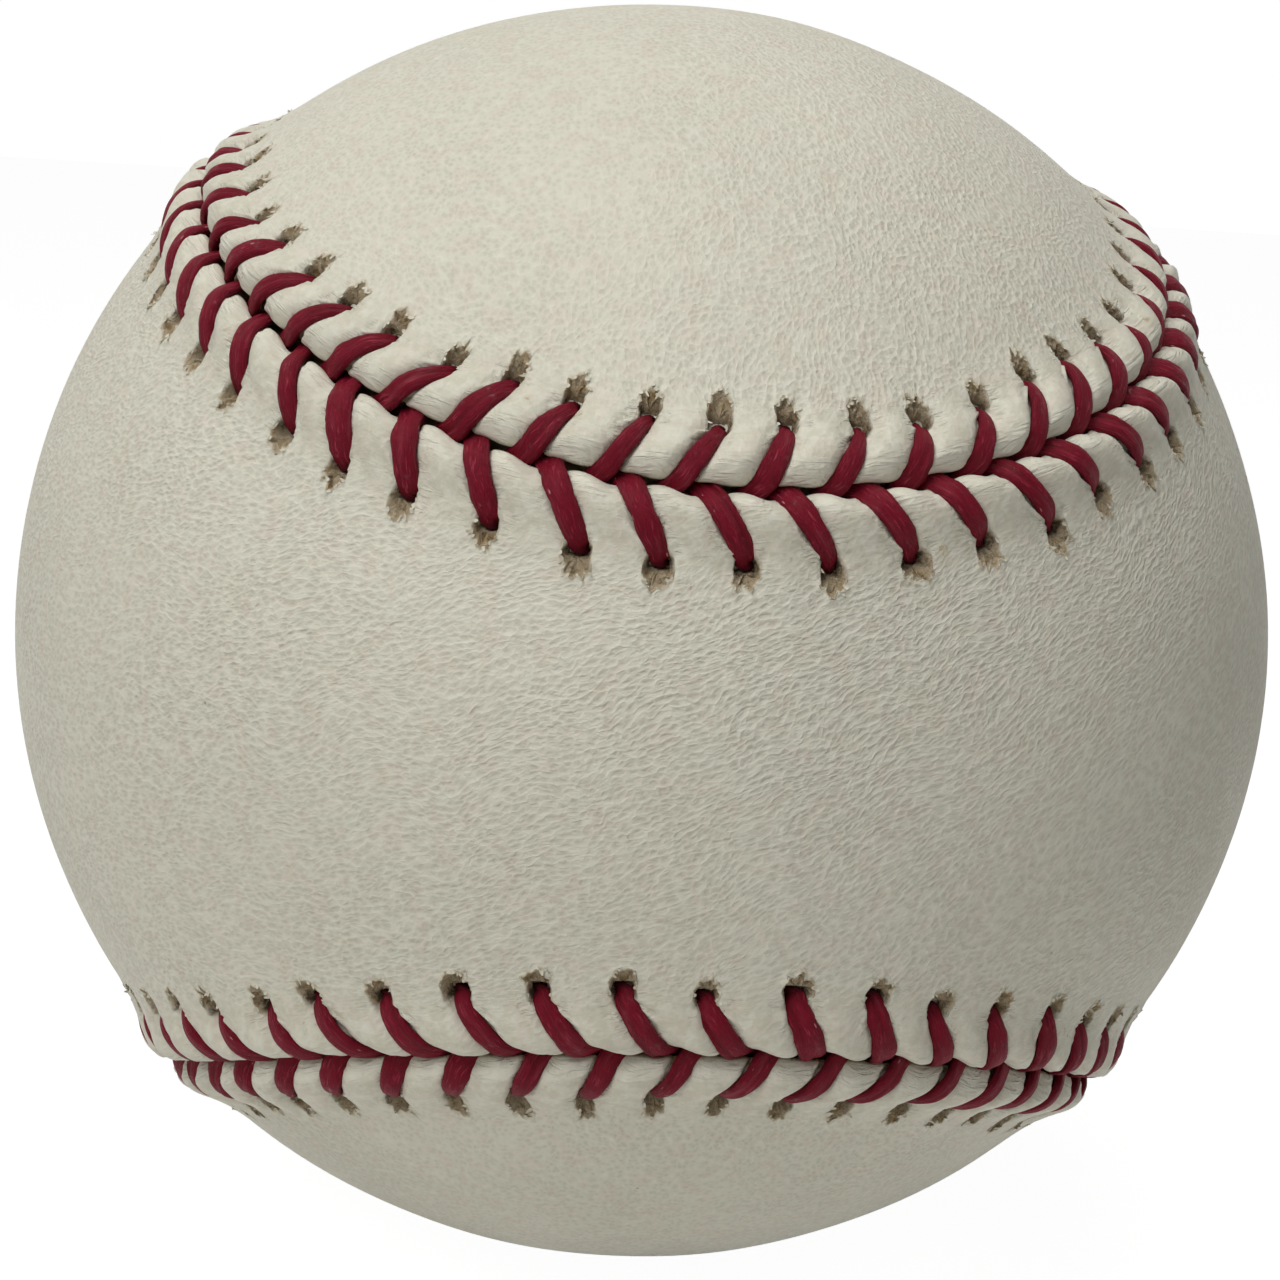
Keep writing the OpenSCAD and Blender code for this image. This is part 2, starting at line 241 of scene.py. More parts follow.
def slivers(start, away, up, length, halfW, halfT, curl, sides, taper=(1.0, 0.92, 0.70, 0.36)):
    # closed tapered blades: the middle line is start + length (away w + curl up w^2), for w from 0 to 1
    way = np.array([0.0, 0.35, 0.65, 0.88])
    sizes = (length, halfW, halfT, curl)
    length, halfW, halfT, curl = (np.broadcast_to(v, len(start))[:, None, None] for v in sizes)
    wide = unit(np.cross(up, away))
    high = unit(np.cross(away, wide))

    def middle(w):
        return start[:, None] + length * (away[:, None] * w + curl * up[:, None] * w**2)

    phi = (np.arange(sides) + 0.5) * 2 * np.pi / sides
    section = (halfW[..., None] * np.cos(phi)[:, None] * wide[:, None, None]
               + halfT[..., None] * np.sin(phi)[:, None] * high[:, None, None])
    ring = middle(way[:, None])[:, :, None] + np.array(taper)[:, None, None] * section
    verts = np.concatenate([start[:, None], ring.reshape(len(start), -1, 3), middle(1.0)], 1)
    per = verts.shape[1]
    rings = closeRing(1 + np.arange(per - 2).reshape(-1, sides))
    ends = [packed(0, rings[0, :-1], rings[0, 1:]), packed(rings[-1, 1:], rings[-1, :-1], per - 1)]
    tri = turnedOut(verts[0] - verts[0].mean(0), np.concatenate([quadFaces(rings), *ends]))
    return verts.reshape(-1, 3), (tri + (np.arange(len(start)) * per)[:, None, None]).reshape(-1, 3)


def addPiece(name, verts, faces, material, uvs, tones, sharpDeg=None, replaces=()):
    # verts in mm, faces as triangles, uvs as (name, u v of each vertex, period of u), three tones a vertex
    mesh = bpy.data.meshes.new(name)
    mesh.from_pydata((verts * mm).astype(np.float32), [], faces.astype(np.int32))
    corner = faces.ravel()
    for uvName, uv, period in uvs:
        uv = uv[corner].reshape(-1, 3, 2).copy()
        if period:
            wrapped = uv[:, :, 0].max(1, keepdims=True) - uv[:, :, 0] > period / 2
            uv[:, :, 0] += wrapped * period
        layer = mesh.uv_layers.new(name=uvName)
        layer.uv.foreach_set("vector", uv.astype(np.float32).ravel())
    layer = mesh.attributes.new("tone", "FLOAT_COLOR", "POINT")
    layer.data.foreach_set("color", np.append(tones, np.ones((len(verts), 1)), 1).astype(np.float32).ravel())
    mesh.polygons.foreach_set("use_smooth", np.ones(len(faces), bool))
    if sharpDeg:
        mesh.set_sharp_from_angle(angle=math.radians(sharpDeg))
    mesh.update()
    mesh.validate()
    piece = bpy.data.objects.new(name, mesh)
    bpy.context.scene.collection.objects.link(piece)
    mesh.materials.append(material)
    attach(piece, bodyName)
    if replaces:
        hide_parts(*replaces)
    print(f"{name}: {len(faces)} triangles")


bodyName = next(iter(frame["bodies"]))


# shader nodes

class Wire:
    # an output socket that takes part in arithmetic: each operator adds a Math node
    def __init__(self, recipe, socket):
        self.recipe, self.socket = recipe, socket

    def math(self, operation, *values):
        return self.recipe.add("Math", dict(operation=operation), dict(enumerate(values)))

    def __add__(self, other):
        return self.math("ADD", self, other)

    def __mul__(self, other):
        return self.math("MULTIPLY", self, other)

    def __sub__(self, other):
        return self.math("SUBTRACT", self, other)

    def __rsub__(self, other):
        return self.math("SUBTRACT", other, self)

    def __pow__(self, other):
        return self.math("POWER", self, other)

    def __abs__(self):
        return self.math("ABSOLUTE", self)

    __radd__, __rmul__ = __add__, __mul__

    def ramp(self, low, high, outLow=0.0, outHigh=1.0):
        # level below low and above high, smooth between
        return self.recipe.add("MapRange", dict(interpolation_type="SMOOTHSTEP"), {
            "Value": self, "From Min": low, "From Max": high, "To Min": outLow, "To Max": outHigh})

    def part(self, name):
        return Wire(self.recipe, self.socket.node.outputs[name])


class Nodes:
    # a node tree, with one method that adds any node
    def __init__(self, tree):
        self.tree = tree

    def add(self, kind, settings=None, inputs=None):
        node = self.tree.nodes.new("ShaderNode" + kind)
        for key, value in (settings or {}).items():
            setattr(node, key, value)
        for key, value in (inputs or {}).items():
            self.plug(node.inputs[key], value)
        return Wire(self, next(o for o in node.outputs if o.enabled))

    def plug(self, socket, value):
        if isinstance(value, Wire):
            self.tree.links.new(value.socket, socket)
        elif isinstance(value, (tuple, list)) and len(value) == 3 and socket.type == "RGBA":
            socket.default_value = (*value, 1)
        else:
            socket.default_value = value

    def finishWhite(self, output, plain, white):
        # camera, mirror and glass rays see the white shader, all other rays the plain one
        path = self.add("LightPath")
        seen = path.part("Is Camera Ray")
        for ray in ("Is Glossy Ray", "Is Transmission Ray"):
            seen = path.math("MAXIMUM", seen, path.part(ray))
        mixed = self.add("MixShader", None, {0: seen, 1: plain, 2: white})
        self.plug(self.tree.nodes[output].inputs["Surface"], mixed)


class Recipe(Nodes):
    # a material
    def __init__(self, name):
        self.material = bpy.data.materials.new(name)
        self.material.use_nodes = True
        super().__init__(self.material.node_tree)
        self.shader = self.tree.nodes["Principled BSDF"]

    def set(self, **values):
        for key, value in values.items():
            self.plug(self.shader.inputs[key.replace("_", " ")], value)

    def mix(self, factor, a, b):
        # colour a where factor is 0, colour b where it is 1
        return self.add("Mix", dict(data_type="RGBA"), {0: factor, 6: a, 7: b})

    def uv(self, name):
        # the piece's own map, in mm
        return self.add("UVMap", dict(uv_map=name))

    def place(self):
        # object coordinates in mm
        return self.sized(self.add("TexCoord").part("Object"), (mm, mm, mm))

    def sized(self, where, sizes):
        # where, counted in steps of the given sizes along X, Y and, if there is a third, Z
        steps = tuple(1 / size for size in sizes) + (1,) * (3 - len(sizes))
        return self.add("VectorMath", dict(operation="MULTIPLY"), {0: where, 1: steps})

    def warp(self, where, scale, amount):
        # where, pushed about by noise, by up to about a third of the amount
        push = self.add("VectorMath", dict(operation="SUBTRACT"),
                        {0: self.noise(where, scale, 1.0).part("Color"), 1: (0.5, 0.5, 0.5)})
        scaled = self.add("VectorMath", dict(operation="SCALE"), {0: push, "Scale": amount})
        return self.add("VectorMath", dict(operation="ADD"), {0: where, 1: scaled})

    def noise(self, where, scale, detail=2.0, rough=0.5, warp=0.0):
        return self.add("TexNoise", None, {"Vector": where, "Scale": scale, "Detail": detail,
                                                     "Roughness": rough, "Distortion": warp})

    def lines(self, noise, breadth):
        # 1 where the noise crosses its middle, falling off to both sides
        return 1 - abs(noise - 0.5) * breadth

    def cells(self, where, scale, feature="F1", jitter=1.0):
        return self.add("TexVoronoi", dict(feature=feature),
                        {"Vector": where, "Scale": scale, "Randomness": jitter})

    def tones(self):
        # the three tones of the piece's vertices
        raw = self.add("Attribute", dict(attribute_name="tone"))
        split = self.add("SeparateColor", None, {"Color": raw})
        return [split.part(c) for c in ("Red", "Green", "Blue")]

    def bump(self, height, depth, below=None):
        # depth in mm for a height of one; below is a coarser bump that this one lies on
        inputs = {"Height": height, "Distance": depth * mm, "Strength": 1.0}
        if below is not None:
            inputs["Normal"] = below
        return self.add("Bump", None, inputs)


# leather

leatherLook = dict(
    pale=(0.770, 0.752, 0.640),
    warm=(0.70, 0.665, 0.535),
    cool=(0.70, 0.70, 0.61),
    # painted shade in the pits of the grain and in the creases
    paintedShade=(0.50, 0.475, 0.385),  # in the pits of the grain
    # painted highlight on the ridges of the grain and on the pillows' lips
    paintedHighlight=(0.84, 0.82, 0.71),
    rosy=(0.76, 0.655, 0.565),
    tan=(0.56, 0.52, 0.40),     # mottling of the stretched leather
    flesh=(0.62, 0.50, 0.335),  # torn or cut leather inside
    # near-black: painted shade deep in the holes, and the small dark specks
    dark=(0.10, 0.072, 0.042),
    stain=(0.43, 0.28, 0.10),
    # how much of each colour its patches show
    amount=dict(cool=0.25, warm=0.22, rosy=0.42, paintedShade=0.50, paintedHighlight=0.8, tan=0.42, stain=0.7, specks=0.5),
    # each panel's grain: slope of the wrinkles and its growth per mm along the panel, length and breadth of
    # the pebbles, how far they wander, strength of the pebbles, of the short waves and of the long wrinkles
    grainA=dict(lean=(0.32, 0.002), cellMm=(0.44, 0.25), wander=0.20, depth=0.86, waves=0.28, folds=0.55),
    grainB=dict(lean=(0.0, 0.0), cellMm=(0.36, 0.28), wander=0.12, depth=0.82, waves=0.06, folds=0.06),
    foldMm=(2.8, 0.70),         # length and breadth of the long wrinkles
    calmPillow=0.62,            # share of its grain that a pillow loses
    pebbleDepth=0.080, foldDepth=0.050, poreDepth=0.016, cutDepth=0.30,
    combMm=(1 / 0.9, 0.23),     # creases beside the thread: size along and across the seam
    pleatMm=(1 / 0.42, 1 / 2.6),  # creases along the lip
    creaseDepth=0.05,
    roughness=0.55,
)


def leatherMaterial(name, grain):
    look, amount = leatherLook, leatherLook["amount"]
    lean = grain["lean"]
    r = Recipe(name)
    at = r.place()
    pillow, raw, creaseAndHoleShade = r.tones()
    # the grain wanders: its map is pushed about by slow and quick noise, then sheared by x (lean + growth x)
    flat = r.warp(r.warp(r.uv("grain"), 0.20, 1.5), 2.2, grain["wander"])
    split = r.add("SeparateXYZ", None, {"Vector": flat})
    x, y = split.part("X"), split.part("Y")
    sheared = r.add("CombineXYZ", None, {"X": x, "Y": y - x * (lean[0] + x * lean[1]), "Z": 0.0})
    cellWhere, foldWhere = r.sized(sheared, grain["cellMm"]), r.sized(sheared, look["foldMm"])
    bowls = r.cells(cellWhere, 1.0, jitter=0.95) ** 1.3  # hollows that meet in thin ridges
    smallBowls = r.cells(cellWhere, 2.1)
    rounder = r.noise(cellWhere, 0.8)
    folds = r.lines(r.noise(foldWhere, 1.0, 3, 0.55), 4).ramp(0.0, 1.0) * grain["folds"]
    waves = r.lines(r.noise(cellWhere, 0.7, 3, 0.55), 5).ramp(0.1, 1.0) * grain["waves"]
    ridges = folds + waves
    pores = r.noise(flat, 9.0, 3, 0.6)
    patchy = r.noise(at, 0.10, 3).ramp(0.30, 0.66)
    strength = (1 - pillow * look["calmPillow"]) * (0.75 + 0.25 * patchy) * (1 - raw) * grain["depth"]
    relief = (bowls * 1.15 + smallBowls * 0.30 + rounder * 0.6) * strength
    # creases: short ones side by side, square to the thread that squeezes them, and long ones along the seam
    strip = r.uv("strip")
    combs = r.noise(r.sized(strip, look["combMm"]), 1.0, 2, 0.5, 0.7)
    pleats = r.noise(r.sized(strip, look["pleatMm"]), 1.0, 3, 0.6, 0.5)
    seamD = r.add("SeparateXYZ", None, {"Vector": strip}).part("Y")
    squeezed = r.lines(combs, 4).ramp(0.2, 1.0) * creaseAndHoleShade * r.noise(at, 0.9).ramp(0.42, 0.60)
    pleated = r.lines(pleats, 5).ramp(0.1, 1.0) * pillow * (0.3 + 1.9 * seamD.ramp(0.7, 1.7, 1, 0))
    roughCut = r.noise(at, 5.5, 4, 0.7)
    normal = r.bump(relief, look["pebbleDepth"])
    normal = r.bump(ridges * strength, look["foldDepth"], normal)
    normal = r.bump(pores * (1 - raw), look["poreDepth"], normal)
    normal = r.bump((0 - squeezed - pleated * 0.6) * (1 - raw), look["creaseDepth"], normal)
    normal = r.bump(roughCut * raw, look["cutDepth"], normal)
    # colour: large faint patches, painted highlights on the ridges and on the pillows' lips, painted shade in
    # the pits and creases, tan and stained leather on the pillows
    blotch = r.noise(at, 0.055, 4, 0.6).ramp(0.38, 0.66)
    spots = r.noise(at, 1.1, 3, 0.6).ramp(0.64, 0.72)
    fewer = r.noise(at, 0.16).ramp(0.54, 0.62) * (0.2 + 0.8 * pillow)
    # painted shade: darker colour in the pits of the grain
    pitShade = (bowls + rounder * 0.5).ramp(0.25, 0.80, 1, 0) * strength
    # painted highlight: lighter colour on the ridges of the grain and of the wrinkles
    top = (bowls + ridges * 0.3).ramp(0.60, 1.0) * strength
    specks = r.cells(r.uv("grain"), 0.22).ramp(0.012, 0.024, 1, 0)
    skin = r.mix(blotch * amount["cool"], look["pale"], look["cool"])
    for colour, where in (
            ("warm", r.noise(at, 0.16, 3, 0.55).ramp(0.52, 0.74) * amount["warm"]),
            ("rosy", r.noise(flat, 0.7, 3, 0.6).ramp(0.47, 0.64) * amount["rosy"]),
            ("paintedShade", pitShade * amount["paintedShade"]),
            ("paintedHighlight", top * amount["paintedHighlight"]),
            # painted shade: darker colour in the creases beside the thread and along the lip
            ("paintedShade", (squeezed + pleated * 0.35) * 0.10),
            ("tan", r.noise(at, 1.3, 4, 0.65).ramp(0.40, 0.60) * pillow * amount["tan"]),
            # painted highlight along the pillows' lips by the seam
            ("paintedHighlight", seamD.ramp(0.6, 1.4, 1, 0) * pillow * 0.6),
            ("stain", spots * fewer * amount["stain"]),
            ("dark", specks * amount["specks"])):
        skin = r.mix(where, skin, look[colour])
    # inside the holes and on the cut edges: near-black painted shade deep in the holes by the thread, then
    # flesh with ochre and pale fibres
    fibres = r.noise(at, 2.6, 4, 0.72) - creaseAndHoleShade * 0.30
    torn = r.mix(fibres.ramp(0.22, 0.50), look["dark"], look["flesh"])
    torn = r.mix(r.noise(at, 1.5, 3).ramp(0.54, 0.66) * 0.6, torn, look["stain"])
    torn = r.mix((r.noise(at, 3.6, 3, 0.6) - creaseAndHoleShade * 0.2).ramp(0.56, 0.68) * 0.6, torn, look["pale"])
    r.set(Base_Color=r.mix(raw, skin, torn), Normal=normal, Specular_IOR_Level=0.36,
          Roughness=look["roughness"] + 0.10 * blotch - 0.08 * pillow + 0.3 * raw)
    return r.material


# cover panels

cover = dict(
    thickness=1.3,
    tunnelH=-0.44,              # underside of the leather near the seam
    valleyHalf=0.50,            # flat floor under the thread, half width
    rawBelow=(0.14, 0.02),      # height at which the cut edge starts on panels B and A
    notchDepth=(0.12, 0.28),    # the lips of B and A draw back where the other panel's thread comes up
    notchMm=0.62,
    lumpHeight=0.05, lumpMm=17,  # faint lumps of the windings inside
    dentHeight=0.022, dentMm=1.5,  # small dents of the pillows
    # the puckered band: columns for each stitch and how much they crowd beside the thread, and rows
    colsPerStitch=20, crowd=0.35,
    lipRows=7, archRows=11, holeRows=6,
    holeStart=2.78, holeEnd=4.80,  # rows that the torn holes lie between
    pastRows=(5.25, 5.70, 6.35, 7.20),
    innerStart=8.0,             # the smooth middle starts here
    cellsOutside=40, cellsInside=12,  # across the smooth middle
    # torn holes
    holePast=0.66,              # from where the thread goes in to the middle of its torn hole
    holeCols=3,                 # columns each side of a leg that a hole takes
    holeHalfW=0.64, holeHalfL=0.95,
    bedShares=(0.90, 0.72, 0.45),  # rings of a hole's wall and bed, as shares of its rim
    shallow=-0.17, deepen=-0.95, middle=-0.50,  # heights of the bed
    flapsPerHole=10,
    flapLong=(0.10, 0.36), flapHalfW=(0.05, 0.15), flapHalfT=0.025,
    sharpDeg=62,                # edges that bend more are shaded as sharp
)
# crown of the pillows and both forms of the rolled lip, as (distance from the seam, height)
crownCurve = [(0.50, 0.78), (0.75, 0.96), (1.20, 1.03), (1.80, 0.94), (2.45, 0.72), (3.10, 0.45),
              (3.70, 0.26), (4.40, 0.11), (5.20, 0.03), (6.20, 0.0), (9.00, 0.0)]
pillowLip = [(0.95, -0.44), (0.50, -0.44), (0.25, -0.33), (0.14, -0.05), (0.15, 0.24), (0.27, 0.49),
             (0.50, 0.70)]
valleyLip = [(1.05, -0.44), (0.76, -0.44), (0.52, -0.41), (0.40, -0.30), (0.41, -0.19), (0.50, -0.12),
             (0.64, -0.06)]
lipTop = pillowLip[-1][0]


def floorCurve(d):
    # the leather under the thread: half a thread and the gap below its middle, and level past the hole
    slope = (curveThrough(legArch, d + 0.05) - curveThrough(legArch, d - 0.05)) / 0.1
    under = curveThrough(legArch, d) - thread["thick"] / 2 * np.sqrt(1 + slope**2) - thread["gap"]
    return under * (1 - softStep((d - 2.65) / 0.55))


def legLine(side, i, d):
    # place along the seam of leg i where it is d from the seam; the sewing's errors fade out past the holes
    hole, foot, even = (around(legs[side][key], i) for key in ("hole", "foot", "evenHole"))
    sewn = foot + (hole - foot) * np.minimum(d / legs[side]["holeD"][i % seam["stitches"]], 1)
    return sewn + (even - sewn) * softStep((d - 4.6) / 2.4)


class Skin:
    # the growing mesh of a panel: points, their places on the strip along the seam, and their tones
    offStrip = (20.0, 20.0)

    def __init__(self):
        self.verts, self.strip, self.tones, self.total = [], [], [], 0

    def add(self, points, strip=offStrip, tones=(0.0, 0.0, 0.0)):
        # takes a grid of points in and gives their vertex numbers back
        shape = points.shape[:-1]
        self.verts.append(points.reshape(-1, 3))
        self.strip.append(np.broadcast_to(packed(*strip), (*shape, 2)).reshape(-1, 2))
        self.tones.append(np.broadcast_to(packed(*tones), (*shape, 3)).reshape(-1, 3))
        first, self.total = self.total, self.total + math.prod(shape)
        return np.arange(first, self.total).reshape(shape)


def lumpy(points, height):
    # points moved along their radius by height times the lumps
    return points * (1 + height / ballR * lumps(points, cover["lumpMm"], 7)[..., None])


def puckered(side, i, g, rowD):
    # the band beside the seam: rolled lip, pillows and the valleys between; i is each column's stitch, g its
    # share of the way to the next; height = floor + (crown - floor) bulge
    c = cover
    crowded = g + c["crowd"] * np.sin(4 * np.pi * g) / (4 * np.pi)
    f = crowded + (g - crowded) * softStep((rowD - 5.3) / 1.6)
    fromLeg = np.minimum(f, 1 - f) * pitch
    rise = np.clip((fromLeg - c["valleyHalf"]) / (pitch / 2 - c["valleyHalf"]), 0, 1)
    bulge = (1 - (1 - rise) ** 2.6) ** 0.8  # 0 under a leg, 1 midway between two legs
    crownOf = legs[side]["crown"]
    crownHere = crownOf[i] * (1 - f) + crownOf[(i + 1) % len(crownOf)] * f
    lean = 1 + 0.10 * np.sin(2 * np.pi * f) * np.sin(1.7 * i)  # each pillow leans a little its own way
    d = rowD + 0 * g
    floor = floorCurve(np.maximum(rowD, valleyLip[-1][0]))
    h = floor + (curveThrough(crownCurve, rowD) * crownHere * lean - floor) * bulge
    lip = np.arange(c["lipRows"])
    pillowD, pillowH = np.array(pillowLip).T[:, :, None]
    valleyD, valleyH = np.array(valleyLip).T[:, :, None]
    d[lip] = valleyD + (pillowD - valleyD) * bulge[lip] ** 0.7
    topShare = softStep(lip / (c["lipRows"] - 1))[:, None]
    pillowH = pillowH * (1 + topShare * ((crownHere * lean)[lip] - 1))
    h[lip] = valleyH + (pillowH - valleyH) * bulge[lip]
    # the other panel's thread comes up beside the lip and pushes it back
    notchAt = 0.5 - side * (0.5 - seam["legStep"] / pitch) + (0.06 if side == sideA else 0)
    notch = np.exp(-((f - notchAt) * pitch / c["notchMm"]) ** 2 - ((rowD - lipTop) / 0.7) ** 2)
    notch = notch * c["notchDepth"][side == sideA]
    d = d + notch
    h = h - 0.5 * notch * (h > 0)
    return legLine(side, i, d) * (1 - f) + legLine(side, i + 1, d) * f, d, h, bulge, fromLeg


def coverPanel(name, node, side, material):
    c, skin = cover, Skin()
    n, cols = seam["stitches"], c["colsPerStitch"]
    columns = n * cols
    i = np.repeat(np.arange(n), cols)[None, :]
    g = np.tile(np.arange(cols) / cols, n)[None, :]
    archD = np.linspace(lipTop, c["holeStart"], c["archRows"] + 1)[1:]
    holeD = np.linspace(c["holeStart"], c["holeEnd"], c["holeRows"] + 1)[1:]
    rowD = np.concatenate([np.full(c["lipRows"], lipTop), archD, holeD, c["pastRows"]])[:, None]
    rows = len(rowD)
    s, d, h, bulge, fromLeg = puckered(side, i, g, rowD)

    # torn holes: the block of cells round each thread end opens into a ragged ring, eased into the rows by it
    top = c["lipRows"] + c["archRows"] - 1  # row at holeStart
    rowIn = (np.arange(rows) - top - c["holeRows"] / 2)[:, None] / (c["holeRows"] / 2)
    colIn = np.where(g < 0.5, g, g - 1) * cols / c["holeCols"]
    ring = np.maximum(abs(rowIn), abs(colIn))
    near = np.where(g < 0.5, i, i + 1)  # the leg that this column is nearest to
    rngHole = np.random.default_rng(50 + side)
    ringNodes = 4 * (c["holeRows"] // 2 + c["holeCols"])
    tooth = rngHole.uniform(0.0, 1.0, (n, ringNodes))
    holeSize = rngHole.uniform(0.88, 1.12, (n, 2))
    heading = np.arctan2(rowIn, colIn)
    spoke = np.round((heading / (2 * np.pi) % 1) * ringNodes).astype(int) % ringNodes
    away = softStep((np.sin(heading) + 0.35) / 1.1)  # teeth are longer away from the seam
    toothHere = tooth[near % n, spoke]
    jag = 1 + (toothHere - 0.42) * (0.16 + 0.42 * away) * (1 - 0.35 * (spoke % 2))
    sRing = (legLine(side, near, np.full_like(d, 4.2))
             + c["holeHalfW"] * holeSize[near % n, 0] * np.cos(heading) * jag)
    dRing = (legs[side]["holeD"][near % n] + c["holePast"]
             + c["holeHalfL"] * holeSize[near % n, 1] * np.sin(heading) * jag)
    ease = 1 - softStep(ring - 1)
    s = s + (sRing - s) * ease
    d = d + (dRing - d) * ease
    tornLip = np.exp(-((ring - 1.05) / 0.35) ** 2) * (ring > 0.99)
    h = h + tornLip * (0.05 + 0.13 * (toothHere - 0.3)) * away
    outer = lumpy(place(s, side * d, h), c["lumpHeight"])
    dents = lumps(outer, c["dentMm"], 11 + side) * bulge * (1 - softStep((rowD - 4.0) / 1.5))
    outer = outer * (1 + c["dentHeight"] / ballR * dents[..., None])
    # tones: how much pillow, how much cut edge and how much crease each place shows; in the holes the third
    # tone is painted shade
    fadeBand = 1 - softStep((rowD - 3.1) / 1.8)
    rawTone = tornLip * (ring < 1.01) * (0.35 + 0.4 * toothHere)
    lip = np.arange(c["lipRows"])
    rawTone[lip] = np.maximum(rawTone[lip], softStep((c["rawBelow"][side == sideA] - h[lip]) / 0.22))
    besideThread = np.exp(-((fromLeg - 0.92) / 0.26) ** 2) * softStep((rowD - 1.1) / 1.0)
    creaseTone = np.clip(besideThread * fadeBand + 0.35 * np.exp(-((rowD - 3.3) / 0.7) ** 2) * bulge, 0, 1)
    index = skin.add(outer, (s, d), ((0.25 + 0.75 * bulge) * fadeBand, rawTone, creaseTone))

    # cells of the band, without the ones inside the holes
    cellRow, cellCol = np.arange(rows - 1)[:, None], (np.arange(columns) % cols)[None, :]
    inHole = ((cellRow >= top) & (cellRow < top + c["holeRows"])
              & ((cellCol < c["holeCols"]) | (cellCol >= cols - c["holeCols"])))
    faces = [quadFaces(closeRing(index), ~inHole)]

    # the walls and the torn bed of each hole: rings that shrink to its middle, deeper beside the thread
    rowOf, colOf = blockRing(c["holeRows"], c["holeCols"])
    rim = index[(top + rowOf)[None, :], (np.arange(n)[:, None] * cols + colOf[None, :]) % columns]
    rimS, rimD, rimH = s.ravel()[rim], d.ravel()[rim], h.ravel()[rim]
    rimS = rimS - seamLen * np.round((rimS - legs[side]["evenHole"][:, None]) / seamLen)
    midS, midD = rimS.mean(1, keepdims=True), rimD.mean(1, keepdims=True)
    holeIndex = [rim]
    for share in c["bedShares"]:
        hs, hd = midS + (rimS - midS) * share, midD + (rimD - midD) * share
        fall = softStep((1 - share) / 0.30)
        deep = c["shallow"] + c["deepen"] * softStep((midD + 0.35 - hd) / 0.9)
        hh = rimH + (deep - rimH) * fall + 0.16 * rngHole.uniform(-1, 1, hs.shape) * fall
        # painted shade: the third tone darkens the bed of the hole deep beside the thread
        shade = softStep((midD + 0.15 - hd) / 0.9)
        holeIndex.append(skin.add(place(hs, side * hd, hh), (hs, hd), (0, 1, shade)))
    midH = np.full_like(midD, c["middle"])
    middle = skin.add(place(midS, side * midD, midH), (midS, midD), (0, 1, 0))
    holeIndex.append(np.repeat(middle, ringNodes, 1))
    walls = np.moveaxis(np.array([closeRing(k) for k in holeIndex]), 1, 0)
    faces.append(np.concatenate([quadFaces(wall) for wall in walls]))

    # torn flaps of leather round each hole, some over it and some curled back
    count = c["flapsPerHole"]
    flaps = n * count
    spot = (np.arange(n)[:, None], rngHole.integers(-1, ringNodes // 2 + 2, (n, count)) % ringNodes)
    flapS, flapD, flapH = (v[spot].ravel() for v in (rimS, rimD, rimH))
    lean = np.arctan2(flapD - np.repeat(midD, count), flapS - np.repeat(midS, count))
    lean = lean + rngHole.normal(0, 0.8, flaps)
    inwards = np.where(rngHole.uniform(0, 1, flaps) < 0.6, -1, 1)[:, None]
    up, along, across = axesAt(flapS, side * flapD)
    away = inwards * (np.cos(lean)[:, None] * along + side * np.sin(lean)[:, None] * across)
    flapLong, flapHalfW = (rngHole.uniform(*c[key], flaps) for key in ("flapLong", "flapHalfW"))
    flapVerts, flapFaces = slivers(place(flapS, side * flapD, flapH - 0.03) - away * 0.06, away, up, flapLong,
                                   flapHalfW, c["flapHalfT"], rngHole.uniform(0.0, 0.7, flaps), 4,
                                   taper=(1.0, 1.1, 0.95, 0.62))
    flapRaw = np.repeat(rngHole.uniform(0.0, 0.7, flaps) ** 2, len(flapVerts) // flaps)
    flapFaces = flapFaces + skin.add(flapVerts, tones=(0.6, flapRaw, 0))[0]

    # smooth middle of the panel, outside and inside, and the underside of the band
    coarse = columns // 4
    sCoarse = np.arange(coarse) * seamLen / coarse
    shift, shiftIn = (int(round(legs[side][key][0] / (seamLen / coarse))) for key in ("evenHole", "foot"))
    outRow = addRow(skin, sCoarse, side, c["innerStart"], 0.0, c["lumpHeight"])
    faces.append(fourToOne(index[-1], np.roll(outRow, -shift)))
    faces.append(quadFaces(ladderGrid(skin, outRow, side, 0.0, c["cellsOutside"], c["lumpHeight"])))
    underside = ((1.4, c["tunnelH"]), (3.4, c["tunnelH"] - 0.25), (5.2, -c["thickness"]),
                 (c["innerStart"], -c["thickness"]))
    inner = np.array([addRow(skin, sCoarse, side, dIn, hIn, 0.0) for dIn, hIn in underside])
    inside = [fourToOne(index[0], np.roll(inner[0], -shiftIn)), quadFaces(closeRing(inner)),
              quadFaces(ladderGrid(skin, inner[-1], side, -c["thickness"], c["cellsInside"], 0.0))]
    verts = np.concatenate(skin.verts)
    faces = np.concatenate([turnedOut(verts, part) for part in faces]
                           + [turnedOut(verts, part, False) for part in inside] + [flapFaces])
    uvs = (("grain", grainMap(verts, side), None), ("strip", np.concatenate(skin.strip), seamLen))
    addPiece(name, verts, faces, material, uvs, np.concatenate(skin.tones), c["sharpDeg"], (node,))


def blockRing(holeRows, half):
    # the nodes round a block of cells, as row and column offsets, in the order of their heading
    corners = np.array([(holeRows // 2, half), (holeRows, half), (holeRows, -half), (0, -half), (0, half),
                        (holeRows // 2, half)])
    ring = [np.linspace(a, b, abs(b - a).max(), endpoint=False) for a, b in zip(corners[:-1], corners[1:])]
    return np.concatenate(ring).astype(int).T


